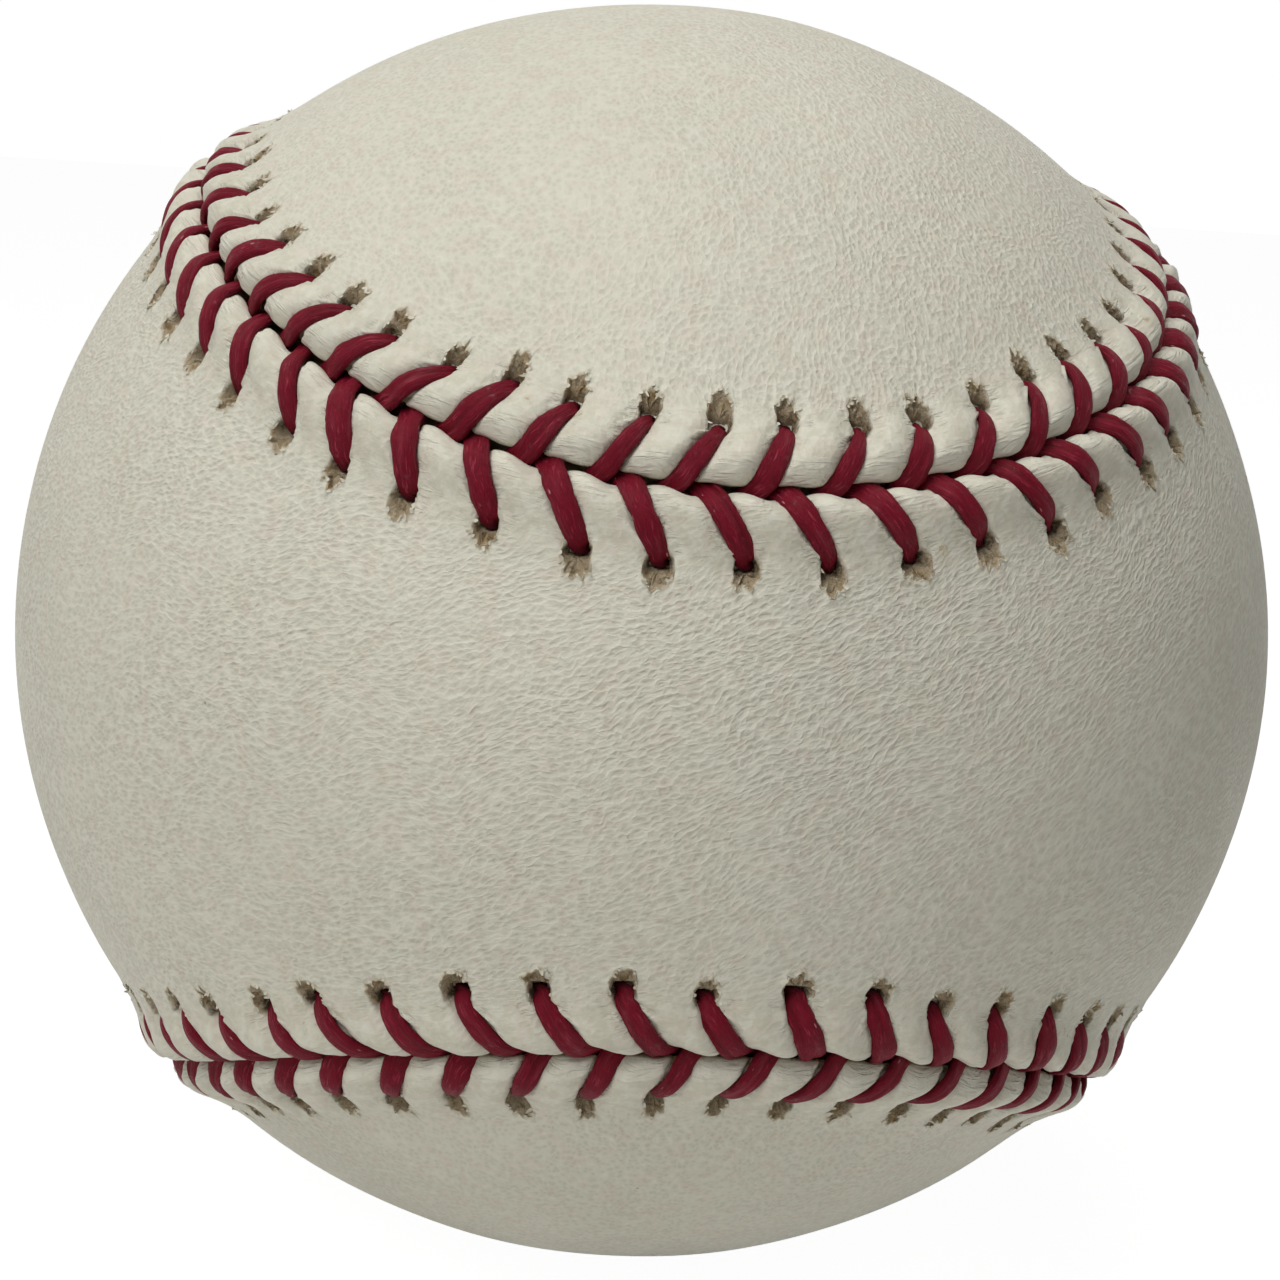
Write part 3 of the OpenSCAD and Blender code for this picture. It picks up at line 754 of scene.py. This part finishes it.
def addRow(skin, s, side, d, h, lump):
    # one more row of places round the panel, at one distance and height
    points = lumpy(place(s, np.full_like(s, side * d), np.full_like(s, h)), lump)
    return skin.add(points, (s, d))


def fourToOne(fine, coarse):
    # triangles between a row and one with a quarter of its places
    f = np.append(fine, fine[0])[np.arange(len(coarse))[:, None] * 4 + np.arange(5)[None, :]]
    c0, c1 = coarse, np.roll(coarse, -1)
    tri = [(c0, f[:, 0], f[:, 1]), (c0, f[:, 1], f[:, 2]), (c0, f[:, 2], c1), (c1, f[:, 2], f[:, 3]),
           (c1, f[:, 3], f[:, 4])]
    return np.concatenate([packed(*t) for t in tri])


def ladderGrid(skin, row, side, h, cells, lump):
    # great-circle lines between mirrored places of the row, k either side of a lobe's tip:
    # (p sin(angle (1 - share)) + q sin(angle share)) / sin(angle)
    count = len(row)
    tip = count // 4 if side == sideA else 0
    k = np.arange(count // 2 + 1)
    first, last = row[(tip + k) % count], row[(tip - k) % count]
    everything = np.concatenate(skin.verts)
    p, q = unit(everything[first]), unit(everything[last])
    angle = np.arccos(np.clip((p * q).sum(-1), -1, 1))[1:-1, None, None]
    share = (np.arange(1, cells) / cells)[None, :, None]
    points = np.sin(angle * (1 - share)) * p[1:-1, None] + np.sin(angle * share) * q[1:-1, None]
    points = points / np.sin(angle)
    index = np.empty((len(k), cells + 1), int)
    index[:, 0], index[:, -1] = first, last
    index[0, 1:-1], index[-1, 1:-1] = first[0], first[-1]
    index[1:-1, 1:-1] = skin.add(lumpy(points * (ballR + h), lump))
    return index


def grainMap(verts, side):
    # the panel laid flat: length round its long way and breadth across it, in mm
    p = unit(verts)
    x, y, z = p.T if side == sideA else np.stack([p[:, 2], -p[:, 1], -p[:, 0]])
    return packed(np.arctan2(x, -y), np.arcsin(np.clip(z, -1, 1))) * ballR


leatherA = leatherMaterial("leather_a", leatherLook["grainA"])
leatherB = leatherMaterial("leather_b", leatherLook["grainB"])
coverPanel("leather_panel_a", "cover_panel_a", sideA, leatherA)
coverPanel("leather_panel_b", "cover_panel_b", sideB, leatherB)


# stitching

threadLook = dict(
    red=(0.275, 0.005, 0.028),
    # dark red, used as painted shade between the strands, along the line between the plies and at the ends in
    # the holes
    deep=(0.105, 0.001, 0.006),
    # lighter red: worn streaks, and painted highlight on the crests of the strands
    wearAndHighlight=(0.46, 0.10, 0.13),
    # painted glints: small bright specks
    waxAndGlint=(0.80, 0.36, 0.34),     # bright specks
    strandMm=(0.085, 0.95),     # breadth and length of strands, of worn streaks and of bright specks
    broadMm=(1 / 2.6, 1 / 0.35),
    glintMm=(1 / 1.5, 1 / 0.62),
    strandDepth=0.09, waxDepth=0.05,
    roughness=0.46,
)


def threadMaterial():
    look = threadLook
    r = Recipe("waxed_thread")
    at = r.place()
    inside, split, _ = r.tones()
    along = r.warp(r.uv("along"), 0.8, 0.35)
    strands = r.noise(r.sized(along, look["strandMm"]), 1.0, 3, 0.6)
    lines = r.lines(strands, 5).ramp(0.2, 1.0)
    broad = r.noise(r.sized(r.uv("along"), look["broadMm"]), 1.0)
    waxAndGlint = r.noise(at, 2.2, 3, 0.6)
    normal = r.bump(strands - lines * 0.35, look["strandDepth"])
    normal = r.bump(waxAndGlint, look["waxDepth"], normal)
    # painted shade: darker between the strands and in the dips along them, with random strand tone
    color = r.mix(0.18 + strands.ramp(0.30, 0.70) * 0.82, look["deep"], look["red"])
    color = r.mix(lines * 0.22, color, look["deep"])
    # painted highlight on the crests of the strands
    color = r.mix(strands.ramp(0.54, 0.72) * 0.38, color, look["wearAndHighlight"])
    # painted shade along the line between the two plies
    color = r.mix(split.ramp(0.45, 1.0) * 0.65, color, look["deep"])
    color = r.mix(broad.ramp(0.54, 0.80) * 0.30, color, look["wearAndHighlight"])
    # painted highlights: small bright glints along the thread
    glints = r.cells(r.sized(r.uv("along"), look["glintMm"]), 1.0).ramp(0.045, 0.10, 1, 0)
    glints = glints * r.noise(at, 0.6, 1).ramp(0.42, 0.52)
    color = r.mix(glints * 0.85, color, look["waxAndGlint"])
    # painted shade where the thread goes into its holes
    color = r.mix(inside * 0.8, color, tuple(0.3 * v for v in look["deep"]))
    r.set(Base_Color=color, Normal=normal, Specular_IOR_Level=0.16,
          Roughness=look["roughness"] + 0.25 * strands - 0.20 * waxAndGlint.ramp(0.55, 0.72),
          Coat_Weight=waxAndGlint.ramp(0.60, 0.74) * 0.22, Coat_Roughness=0.22)
    return r.material


def threadPath(firstSide):
    # one closed line: each stitch is a leg over the leather, a turn down its hole and a run under it
    t, n = thread, seam["stitches"]
    i = np.arange(n)
    side = np.where(i % 2 == 0, firstSide, -firstSide)[:, None]

    def byPanel(side, onB, onA):
        return np.where(side == sideB, onB, onA)

    def ofLeg(key, side, i):
        # that value of leg i, from the list of the panel that the leg lies on
        return byPanel(side, around(legs[sideB][key], i)[:, None], around(legs[sideA][key], i)[:, None])

    def along(d, side, foot, hole, holeD, most):
        # place along the seam of a leg where it is d from the seam; it comes up before its foot
        s = foot + (hole - foot) * np.clip(d / holeD, -0.3, most)
        return s - byPanel(side, *t["trail"]) * softStep((0.42 - d) / 0.95)

    foot, hole, holeD = (ofLeg(key, side, i) for key in ("foot", "hole", "holeD"))
    nextFoot, nextHole = (ofLeg(key, -side, i + 1) for key in ("foot", "hole"))
    nextHoleD = ofLeg("holeD", -side, (i + 1) % n)
    q = np.linspace(0, 1, t["ringsLeg"])[None, :]
    # leg: distance from the groove grows evenly, then the thread turns down at the hole
    over = len(legReach) - len(holeFall)
    keyH = np.append(curveThrough(legArch, legReach[:over]), holeFall)
    key = np.linspace(0, 1, len(legReach))
    dLeg = curveThrough(list(zip(key, legReach)), q) + (holeD - seam["evenHoleD"]) * softStep((q - 0.2) / 0.6)
    hLeg = curveThrough(list(zip(key, keyH)), q) - byPanel(side, *t["lower"]) * softStep((1.0 - dLeg) / 0.8)
    sLeg = along(dLeg, side, foot, hole, holeD, 1.05)
    # under-run: from the foot of the hole to where the next leg starts, below the leather
    w = (np.arange(1, t["ringsUnder"] + 1) / (t["ringsUnder"] + 1))[None, :]
    underH = cementR + t["gap"] + t["roundD"] / 2 - ballR
    dEnd, sEnd = dLeg[:, -1:], sLeg[:, -1:]
    dNext, hNext = legReach[0], keyH[0]
    sNext = along(dNext, -side, nextFoot, nextHole, nextHoleD, 1)
    dUnder = dEnd + (-dNext - dEnd) * w
    sUnder = sEnd + (sNext - sEnd) * w
    hUnder = hLeg[:, -1:] * (1 - w) + hNext * w
    hUnder = hUnder - (hUnder - underH) * np.sin(np.pi * w)
    s, d, h = (np.concatenate(pair, 1) for pair in ((sLeg, sUnder), (dLeg, dUnder), (hLeg, hUnder)))
    # heading of each stretch, seen from above, and how flat and how wide the thread is there
    legTurn = np.arctan2(side * holeD, hole - foot)
    runTurn = np.arctan2(side * (-dNext - dEnd), sNext - sEnd)
    nextTurn = np.arctan2(-side * nextHoleD, nextHole - nextFoot)
    turn = np.concatenate([legTurn + (runTurn - legTurn) * softStep((q - 0.86) / 0.14),
                           runTurn + (nextTurn - runTurn) * softStep((w - 0.5) / 0.5)], 1)
    flatLeg = 1 - 0.45 * softStep((q - 0.85) / 0.10) - 0.55 * softStep((q - 0.93) / 0.07)
    flat = np.append(softStep((q + 0.06) / 0.14) * flatLeg, 0 * w, 1) + 0 * s
    thins = np.append(softStep((q - 0.30) / 0.50), 0 * w, 1)
    width = ofLeg("width", side, i) * (1 - ofLeg("taper", side, i) * thins)
    return place(s, side * d, h), s, turn, flat, width, np.append(q, 1 + 0 * w, 1) + 0 * s


def sewnThread(name, node, firstSide, material):
    t = thread
    points, s, turn, flat, width, way = threadPath(firstSide)
    n, per = s.shape
    line = points.reshape(-1, 3)
    turn, flat, width, way = (v.reshape(-1, 1) for v in (turn, flat, width, way))
    ahead = unit(np.roll(line, -1, 0) - np.roll(line, 1, 0))
    # axes of the section: broad is level with the leather, high is square to it and to the run
    up = unit(line)
    e = seamFrame(s.ravel())[1]
    e = unit(e - up * (e * up).sum(-1, keepdims=True))
    broad = unit(-np.sin(turn) * e + np.cos(turn) * np.cross(up, e))
    broad = unit(broad - ahead * (broad * ahead).sum(-1, keepdims=True))
    high = np.cross(ahead, broad)
    # section: a flattened round, dented where its two plies meet, with strands that swell and fade along it
    phi = 2 * np.pi * np.arange(t["sides"])[None, :] / t["sides"]
    ragged = sum(lumps(line, wave, 21 + 2 * k + firstSide) * share
                 for k, (wave, share) in enumerate(t["ragged"]))
    halfW = (t["roundD"] + (width - t["roundD"]) * flat) / 2 * (1 + ragged[:, None] * flat)
    halfT = (t["roundD"] + (t["thick"] - t["roundD"]) * flat) / 2
    co, si = np.cos(phi), np.sin(phi)
    x = np.sign(co) * abs(co) ** 0.80 * halfW
    y = np.sign(si) * abs(si) ** 0.92 * halfT
    run = np.concatenate([[0], np.cumsum(np.linalg.norm(np.diff(line, axis=0), axis=1))])[:, None]
    rngThread = np.random.default_rng(5 + firstSide)
    offset = np.repeat(rngThread.uniform(-0.35, 0.35, n), per)[:, None]
    plyLine = offset * halfW + 0.30 * halfW * np.sin(run / 2.3)
    split = np.exp(-((x - plyLine) / 0.13) ** 2) * np.repeat(rngThread.uniform(0.2, 1.5, n), per)[:, None]
    y = y - np.sign(y) * split * t["plyDent"] * halfT * 2 * (abs(si) > 0.3)
    swell = 1 + 0.030 * np.sin(7 * phi + run * 1.9 + offset * 9) + 0.022 * np.sin(run * 3.1 + offset * 20)
    verts = line[:, None] + (x * swell)[..., None] * broad[:, None] + (y * swell)[..., None] * high[:, None]
    index = np.arange(n * per * t["sides"]).reshape(n * per, -1)
    faces = quadFaces(closeRing(np.append(index, index[:1], 0)))
    # the ends in the holes, which the material darkens as painted shade
    inside = np.maximum(softStep((way - 0.84) / 0.08), softStep((0.10 - way) / 0.10)) + 0 * phi
    uv = packed(3.3 * phi / (2 * np.pi), run).reshape(-1, 2)
    # the second tone marks the line between the plies, which the material darkens as painted shade
    tones = packed(inside, split * flat, 0).reshape(-1, 3)
    # the faces look away from the middle line
    a, b, c = (verts.reshape(-1, 3)[faces[:, j]] for j in range(3))
    facing = (np.cross(b - a, c - a) * (a - line[faces[:, 0] // t["sides"]])).sum()
    addPiece(name, verts.reshape(-1, 3), faces if facing > 0 else faces[:, ::-1], material,
             (("along", uv, None),), tones, replaces=(node,))
    # loose fibres that stand off the edges of the legs
    onLeg = np.round(per * 0.77 * rngThread.uniform(0.13, 0.76, (n, t["fuzz"])))
    at = (np.arange(n)[:, None] * per + onLeg).astype(int).ravel()
    edge = np.where(rngThread.uniform(0, 1, at.size) < 0.5, -1, 1)[:, None]
    swayA, swayB = rngThread.uniform(-1.2, 1.2, (2, at.size, 1))
    away = unit(edge * broad[at] + swayA * ahead[at] + 0.5 * swayB * high[at])
    fuzzVerts, fuzzFaces = slivers(line[at] + edge * broad[at] * halfW[at] * 0.9, away, high[at],
                                   rngThread.uniform(*t["fuzzLong"], at.size), t["fuzzR"], t["fuzzR"],
                                   rngThread.uniform(-0.5, 0.3, at.size), 3)
    addPiece(name + "_fuzz", fuzzVerts, fuzzFaces, material,
             (("along", np.zeros((len(fuzzVerts), 2)), None),), np.zeros_like(fuzzVerts))


redThread = threadMaterial()
sewnThread("sewn_thread_a", "stitch_thread_a", sideA, redThread)
sewnThread("sewn_thread_b", "stitch_thread_b", sideB, redThread)


# the layers inside

insideLook = dict(
    cork=((0.52, 0.34, 0.19), (0.20, 0.11, 0.055)),
    blackRubber=((0.020, 0.020, 0.022), (0.034, 0.033, 0.034)),
    redRubber=((0.36, 0.055, 0.040), (0.25, 0.035, 0.028)),
    greyWool=((0.24, 0.235, 0.225), (0.10, 0.098, 0.095)),
    whiteWool=((0.72, 0.69, 0.60), (0.40, 0.37, 0.30)),
    yarn=((0.76, 0.73, 0.64), (0.45, 0.42, 0.34)),
    cement=((0.60, 0.50, 0.31), (0.42, 0.33, 0.18)),
)


def corkMaterial():
    light, dark = insideLook["cork"]
    r = Recipe("cork")
    at = r.place()
    grains = r.cells(at, 0.9)
    tint = r.noise(at, 1.3, 3)
    seams = r.cells(at, 0.9, "DISTANCE_TO_EDGE")
    color = r.mix(tint.ramp(0.35, 0.65), light, tuple(0.7 * v for v in light))
    color = r.mix(seams.ramp(0.0, 0.12, 1, 0) * 0.7, color, dark)
    r.set(Base_Color=color, Roughness=0.85 - 0.1 * tint,
          Normal=r.bump(seams.ramp(0, 0.15) + grains * 0.3 + tint * 0.3, 0.15))
    return r.material


def rubberMaterial(name, pair, roughness):
    light, dark = insideLook[pair]
    r = Recipe(name)
    at = r.place()
    fine = r.noise(at, 3.0, 4, 0.6)
    cloud = r.noise(at, 0.25, 3)
    r.set(Base_Color=r.mix(cloud.ramp(0.4, 0.7), light, dark), Roughness=roughness + 0.15 * fine,
          Normal=r.bump(fine, 0.04))
    return r.material


def woundMaterial(name, pair, yarnMm):
    # turns of yarn that cross in three headings; each patch of the ball shows the turn that was wound last
    light, dark = insideLook[pair]
    r = Recipe(name)
    at = r.place()
    height, top = None, None
    for number, heading in enumerate(((0.3, 1.0, 0.2), (1.0, -0.4, 0.5), (-0.2, 0.35, 1.0))):
        turned = r.add("VectorRotate", dict(rotation_type="AXIS_ANGLE"),
                       {"Vector": at, "Axis": heading, "Angle": 1.1 + number})
        sway = r.noise(turned, 0.12 + 0.02 * number, 2)
        bands = r.add("TexWave", dict(wave_profile="SIN"),
                      {"Vector": turned, "Scale": 0.314 / yarnMm, "Distortion": 2.2 + number, "Detail": 1.0,
                       "Detail Scale": 0.4})
        if height is None:
            height = bands
        else:
            top = sway.ramp(0.49, 0.51)
            height = height * (1 - top) + (bands + 0.25 * number) * top
    fuzz = r.noise(at, 4.5, 4, 0.7)
    # darker in the grooves between the turns: painted shade
    r.set(Base_Color=r.mix(height.ramp(0.0, 0.75) * 0.85 + fuzz * 0.15, dark, light),
          Roughness=0.85 + 0.1 * fuzz, Normal=r.bump(height + fuzz * 0.3, 0.35 * yarnMm))
    return r.material


blackRubber = rubberMaterial("black_rubber", "blackRubber", 0.55)
redRubber = rubberMaterial("red_rubber", "redRubber", 0.6)
for node, material, slot in (
        ("cork_core", corkMaterial(), "cork"),
        ("black_shell_upper", blackRubber, "black_rubber"),
        ("black_shell_lower", blackRubber, "black_rubber"),
        ("shell_gasket", redRubber, "red_rubber"),
        ("red_rubber_layer", redRubber, "red_rubber"),
        ("grey_wool_inner", woundMaterial("grey_wool_four_ply", "greyWool", 1.6), "grey_wool"),
        ("white_wool_middle", woundMaterial("white_wool", "whiteWool", 1.2), "white_wool"),
        ("grey_wool_outer", woundMaterial("grey_wool_three_ply", "greyWool", 1.2), "grey_wool"),
        ("finishing_yarn", woundMaterial("fine_yarn", "yarn", 0.5), "finishing_yarn"),
        ("cement_coat", rubberMaterial("rubber_cement", "cement", 0.45), "cement")):
    # a CAD piece keeps its shape and gets its finish
    finish = frame["nodes"][node].data.materials
    finish.clear()
    finish.append(material)
print("layers inside dressed")


# studio

studio = dict(
    azimuthDeg=-7.56, elevationDeg=11.66, rollDeg=3.85,
    distanceShare=4.357,        # camera to the ball's centre, in ball radii
    imagePx=1280, centrePx=(641.0, 630.5), outlinePx=626.0,
    # lamps: place in metres, watts and tint
    lamps=dict(
        key=((-0.26, -0.26, 0.40), 1.11, (1.0, 0.985, 0.95)),
        front=((-0.22, -0.46, 0.36), 0.46, (0.97, 0.99, 1.0)),
        top=((0.0, -0.06, 0.52), 0.97, (1.0, 0.985, 0.95)),
    ),
    lampSize=0.30,
    worldTint=(1.0, 0.985, 0.95, 1), worldLight=0.018,
    floorHalf=1.5, floorTint=(0.88, 0.88, 0.86),
    floorGlow=1.18, floorWhite=0.82,  # strength of the white that the camera sees, and its share
)


def makeCamera():
    c = studio
    az, el, roll = (math.radians(c[key]) for key in ("azimuthDeg", "elevationDeg", "rollDeg"))
    back = Vector((math.sin(az) * math.cos(el), -math.cos(az) * math.cos(el), math.sin(el)))
    right = Vector((math.cos(az), math.sin(az), 0))
    up = back.cross(right)
    right, up = (right * math.cos(roll) + up * math.sin(roll), up * math.cos(roll) - right * math.sin(roll))
    data = bpy.data.cameras.new("camera")
    focalPx = c["outlinePx"] * math.sqrt(c["distanceShare"]**2 - 1)
    data.lens = data.sensor_width * focalPx / c["imagePx"]
    data.shift_x = (c["imagePx"] / 2 - c["centrePx"][0]) / c["imagePx"]
    data.shift_y = (c["centrePx"][1] - c["imagePx"] / 2) / c["imagePx"]
    data.clip_start, data.clip_end = 1 * mm, 5.0
    camera = bpy.data.objects.new("camera", data)
    spot = back * c["distanceShare"] * ballR * mm
    camera.matrix_world = Matrix.Translation(spot) @ Matrix((right, up, back)).transposed().to_4x4()
    bpy.context.scene.collection.objects.link(camera)
    bpy.context.scene.camera = camera


def addLamp(name, where, watts, tint):
    # a round lamp that looks at the ball's centre
    data = bpy.data.lights.new(name, "AREA")
    data.shape, data.size, data.energy, data.color = "DISK", studio["lampSize"], watts, tint
    lamp = bpy.data.objects.new(name, data)
    turned = Vector(where).to_track_quat("Z", "Y").to_matrix().to_4x4()
    lamp.matrix_world = Matrix.Translation(where) @ turned
    bpy.context.scene.collection.objects.link(lamp)


def makeFloor():
    # a pale plane under the ball; what the camera sees of it is white with part of the ball's shadow
    half, z = studio["floorHalf"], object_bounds()[0][2]
    mesh = bpy.data.meshes.new("floor")
    corners = [(-half, -half, z), (half, -half, z), (half, half, z), (-half, half, z)]
    mesh.from_pydata(corners, [], [(0, 1, 2, 3)])
    floor = bpy.data.objects.new("floor", mesh)
    bpy.context.scene.collection.objects.link(floor)
    r = Recipe("pale_floor")
    r.set(Base_Color=studio["floorTint"], Roughness=0.9, Specular_IOR_Level=0.1)
    plain = Wire(r, r.shader.outputs[0])
    glow = r.add("Emission", None, {"Strength": studio["floorGlow"]})
    shade = r.add("MixShader", None, {0: studio["floorWhite"], 1: plain, 2: glow})
    r.finishWhite("Material Output", plain, shade)
    mesh.materials.append(r.material)


def makeWorld():
    world = bpy.data.worlds.new("studio")
    world.use_nodes = True
    r = Nodes(world.node_tree)
    soft = Wire(r, r.tree.nodes["Background"].outputs[0])
    soft.socket.node.inputs["Color"].default_value = studio["worldTint"]
    soft.socket.node.inputs["Strength"].default_value = studio["worldLight"]
    r.finishWhite("World Output", soft, r.add("Background", None, {"Color": (1, 1, 1)}))
    bpy.context.scene.world = world


makeCamera()
makeFloor()
makeWorld()
for lampName, lamp in studio["lamps"].items():
    addLamp(lampName, *lamp)
bpy.context.scene.view_settings.view_transform = "Standard"
print("studio ready")
